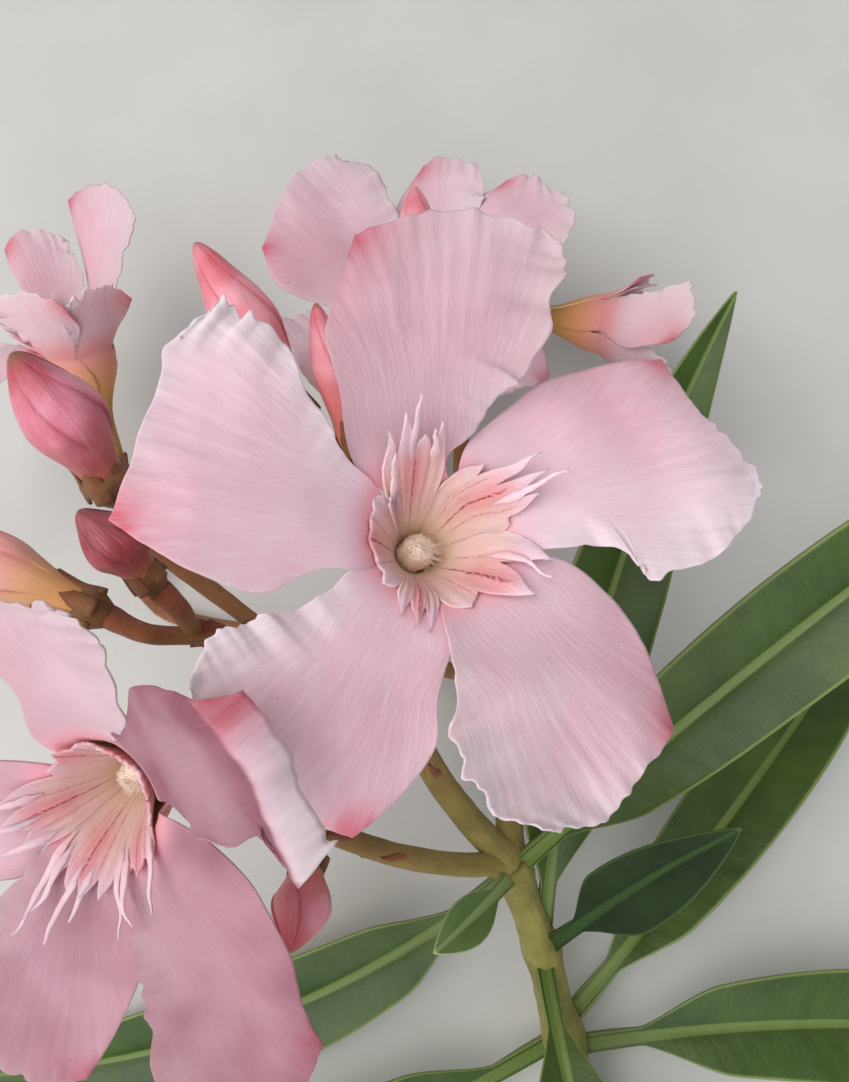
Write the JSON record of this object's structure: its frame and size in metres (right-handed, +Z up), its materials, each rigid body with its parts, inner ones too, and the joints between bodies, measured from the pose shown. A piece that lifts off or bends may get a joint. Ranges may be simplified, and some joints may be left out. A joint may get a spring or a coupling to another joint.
{
  "type": "cut flowering oleander shoot",
  "caption": "Leafy shoot of pink oleander cut from the bush and laid down, with pinwheel blooms, furled buds and whorled narrow leaves",
  "frame": {"origin": "middle of the footprint, on the ground that the shoot lies on", "axes": "+Z up from the ground; +Y from the cut end of the stem towards the flowers; +X to the right of the flowers, seen from above"},
  "size_m": [0.1728, 0.1722, 0.081],
  "materials": {
    "stem": "green bark, smooth, dull",
    "stalk": "brownish green skin, slightly downy",
    "petal": "pale pink, velvety, deeper at the corners and in the throat",
    "bud": "deep rose, satin, orange at the tube",
    "leaf": "leathery mid green with a pale rib, satin"
  },
  "bodies": {
    "root": {"stem": "stem", "peduncle_front": "stalk", "peduncle_lower": "stalk", "peduncle_back": "stalk", "peduncle_left": "stalk", "peduncle_upper": "stalk", "stalk_bloom_front": "stalk", "stalk_bloom_low_left": "stalk", "stalk_bloom_left": "stalk", "stalk_bloom_back": "stalk", "stalk_bloom_right": "stalk", "stalk_bud_upper": "stalk", "stalk_bud_large": "stalk", "stalk_bud_tip": "stalk", "stalk_bud_inner": "stalk", "stalk_bud_low": "stalk", "stalk_bud_top": "stalk", "stalk_bud_opening": "stalk", "bloom_front": "petal", "bloom_low_left": "petal", "bloom_left": "petal", "bloom_back": "petal", "bloom_right": "petal", "bud_upper": "bud", "bud_large": "bud", "bud_tip": "bud", "bud_inner": "bud", "bud_low": "bud", "bud_top": "bud", "bud_opening": "bud", "leaf_upper_right": "leaf", "leaf_upper_left": "leaf", "leaf_upper_small": "leaf", "leaf_middle_back": "leaf", "leaf_middle_young": "leaf", "leaf_middle_front": "leaf", "leaf_low_right": "leaf", "leaf_low_back": "leaf", "leaf_low_left": "leaf"}
  },
  "joints": []
}
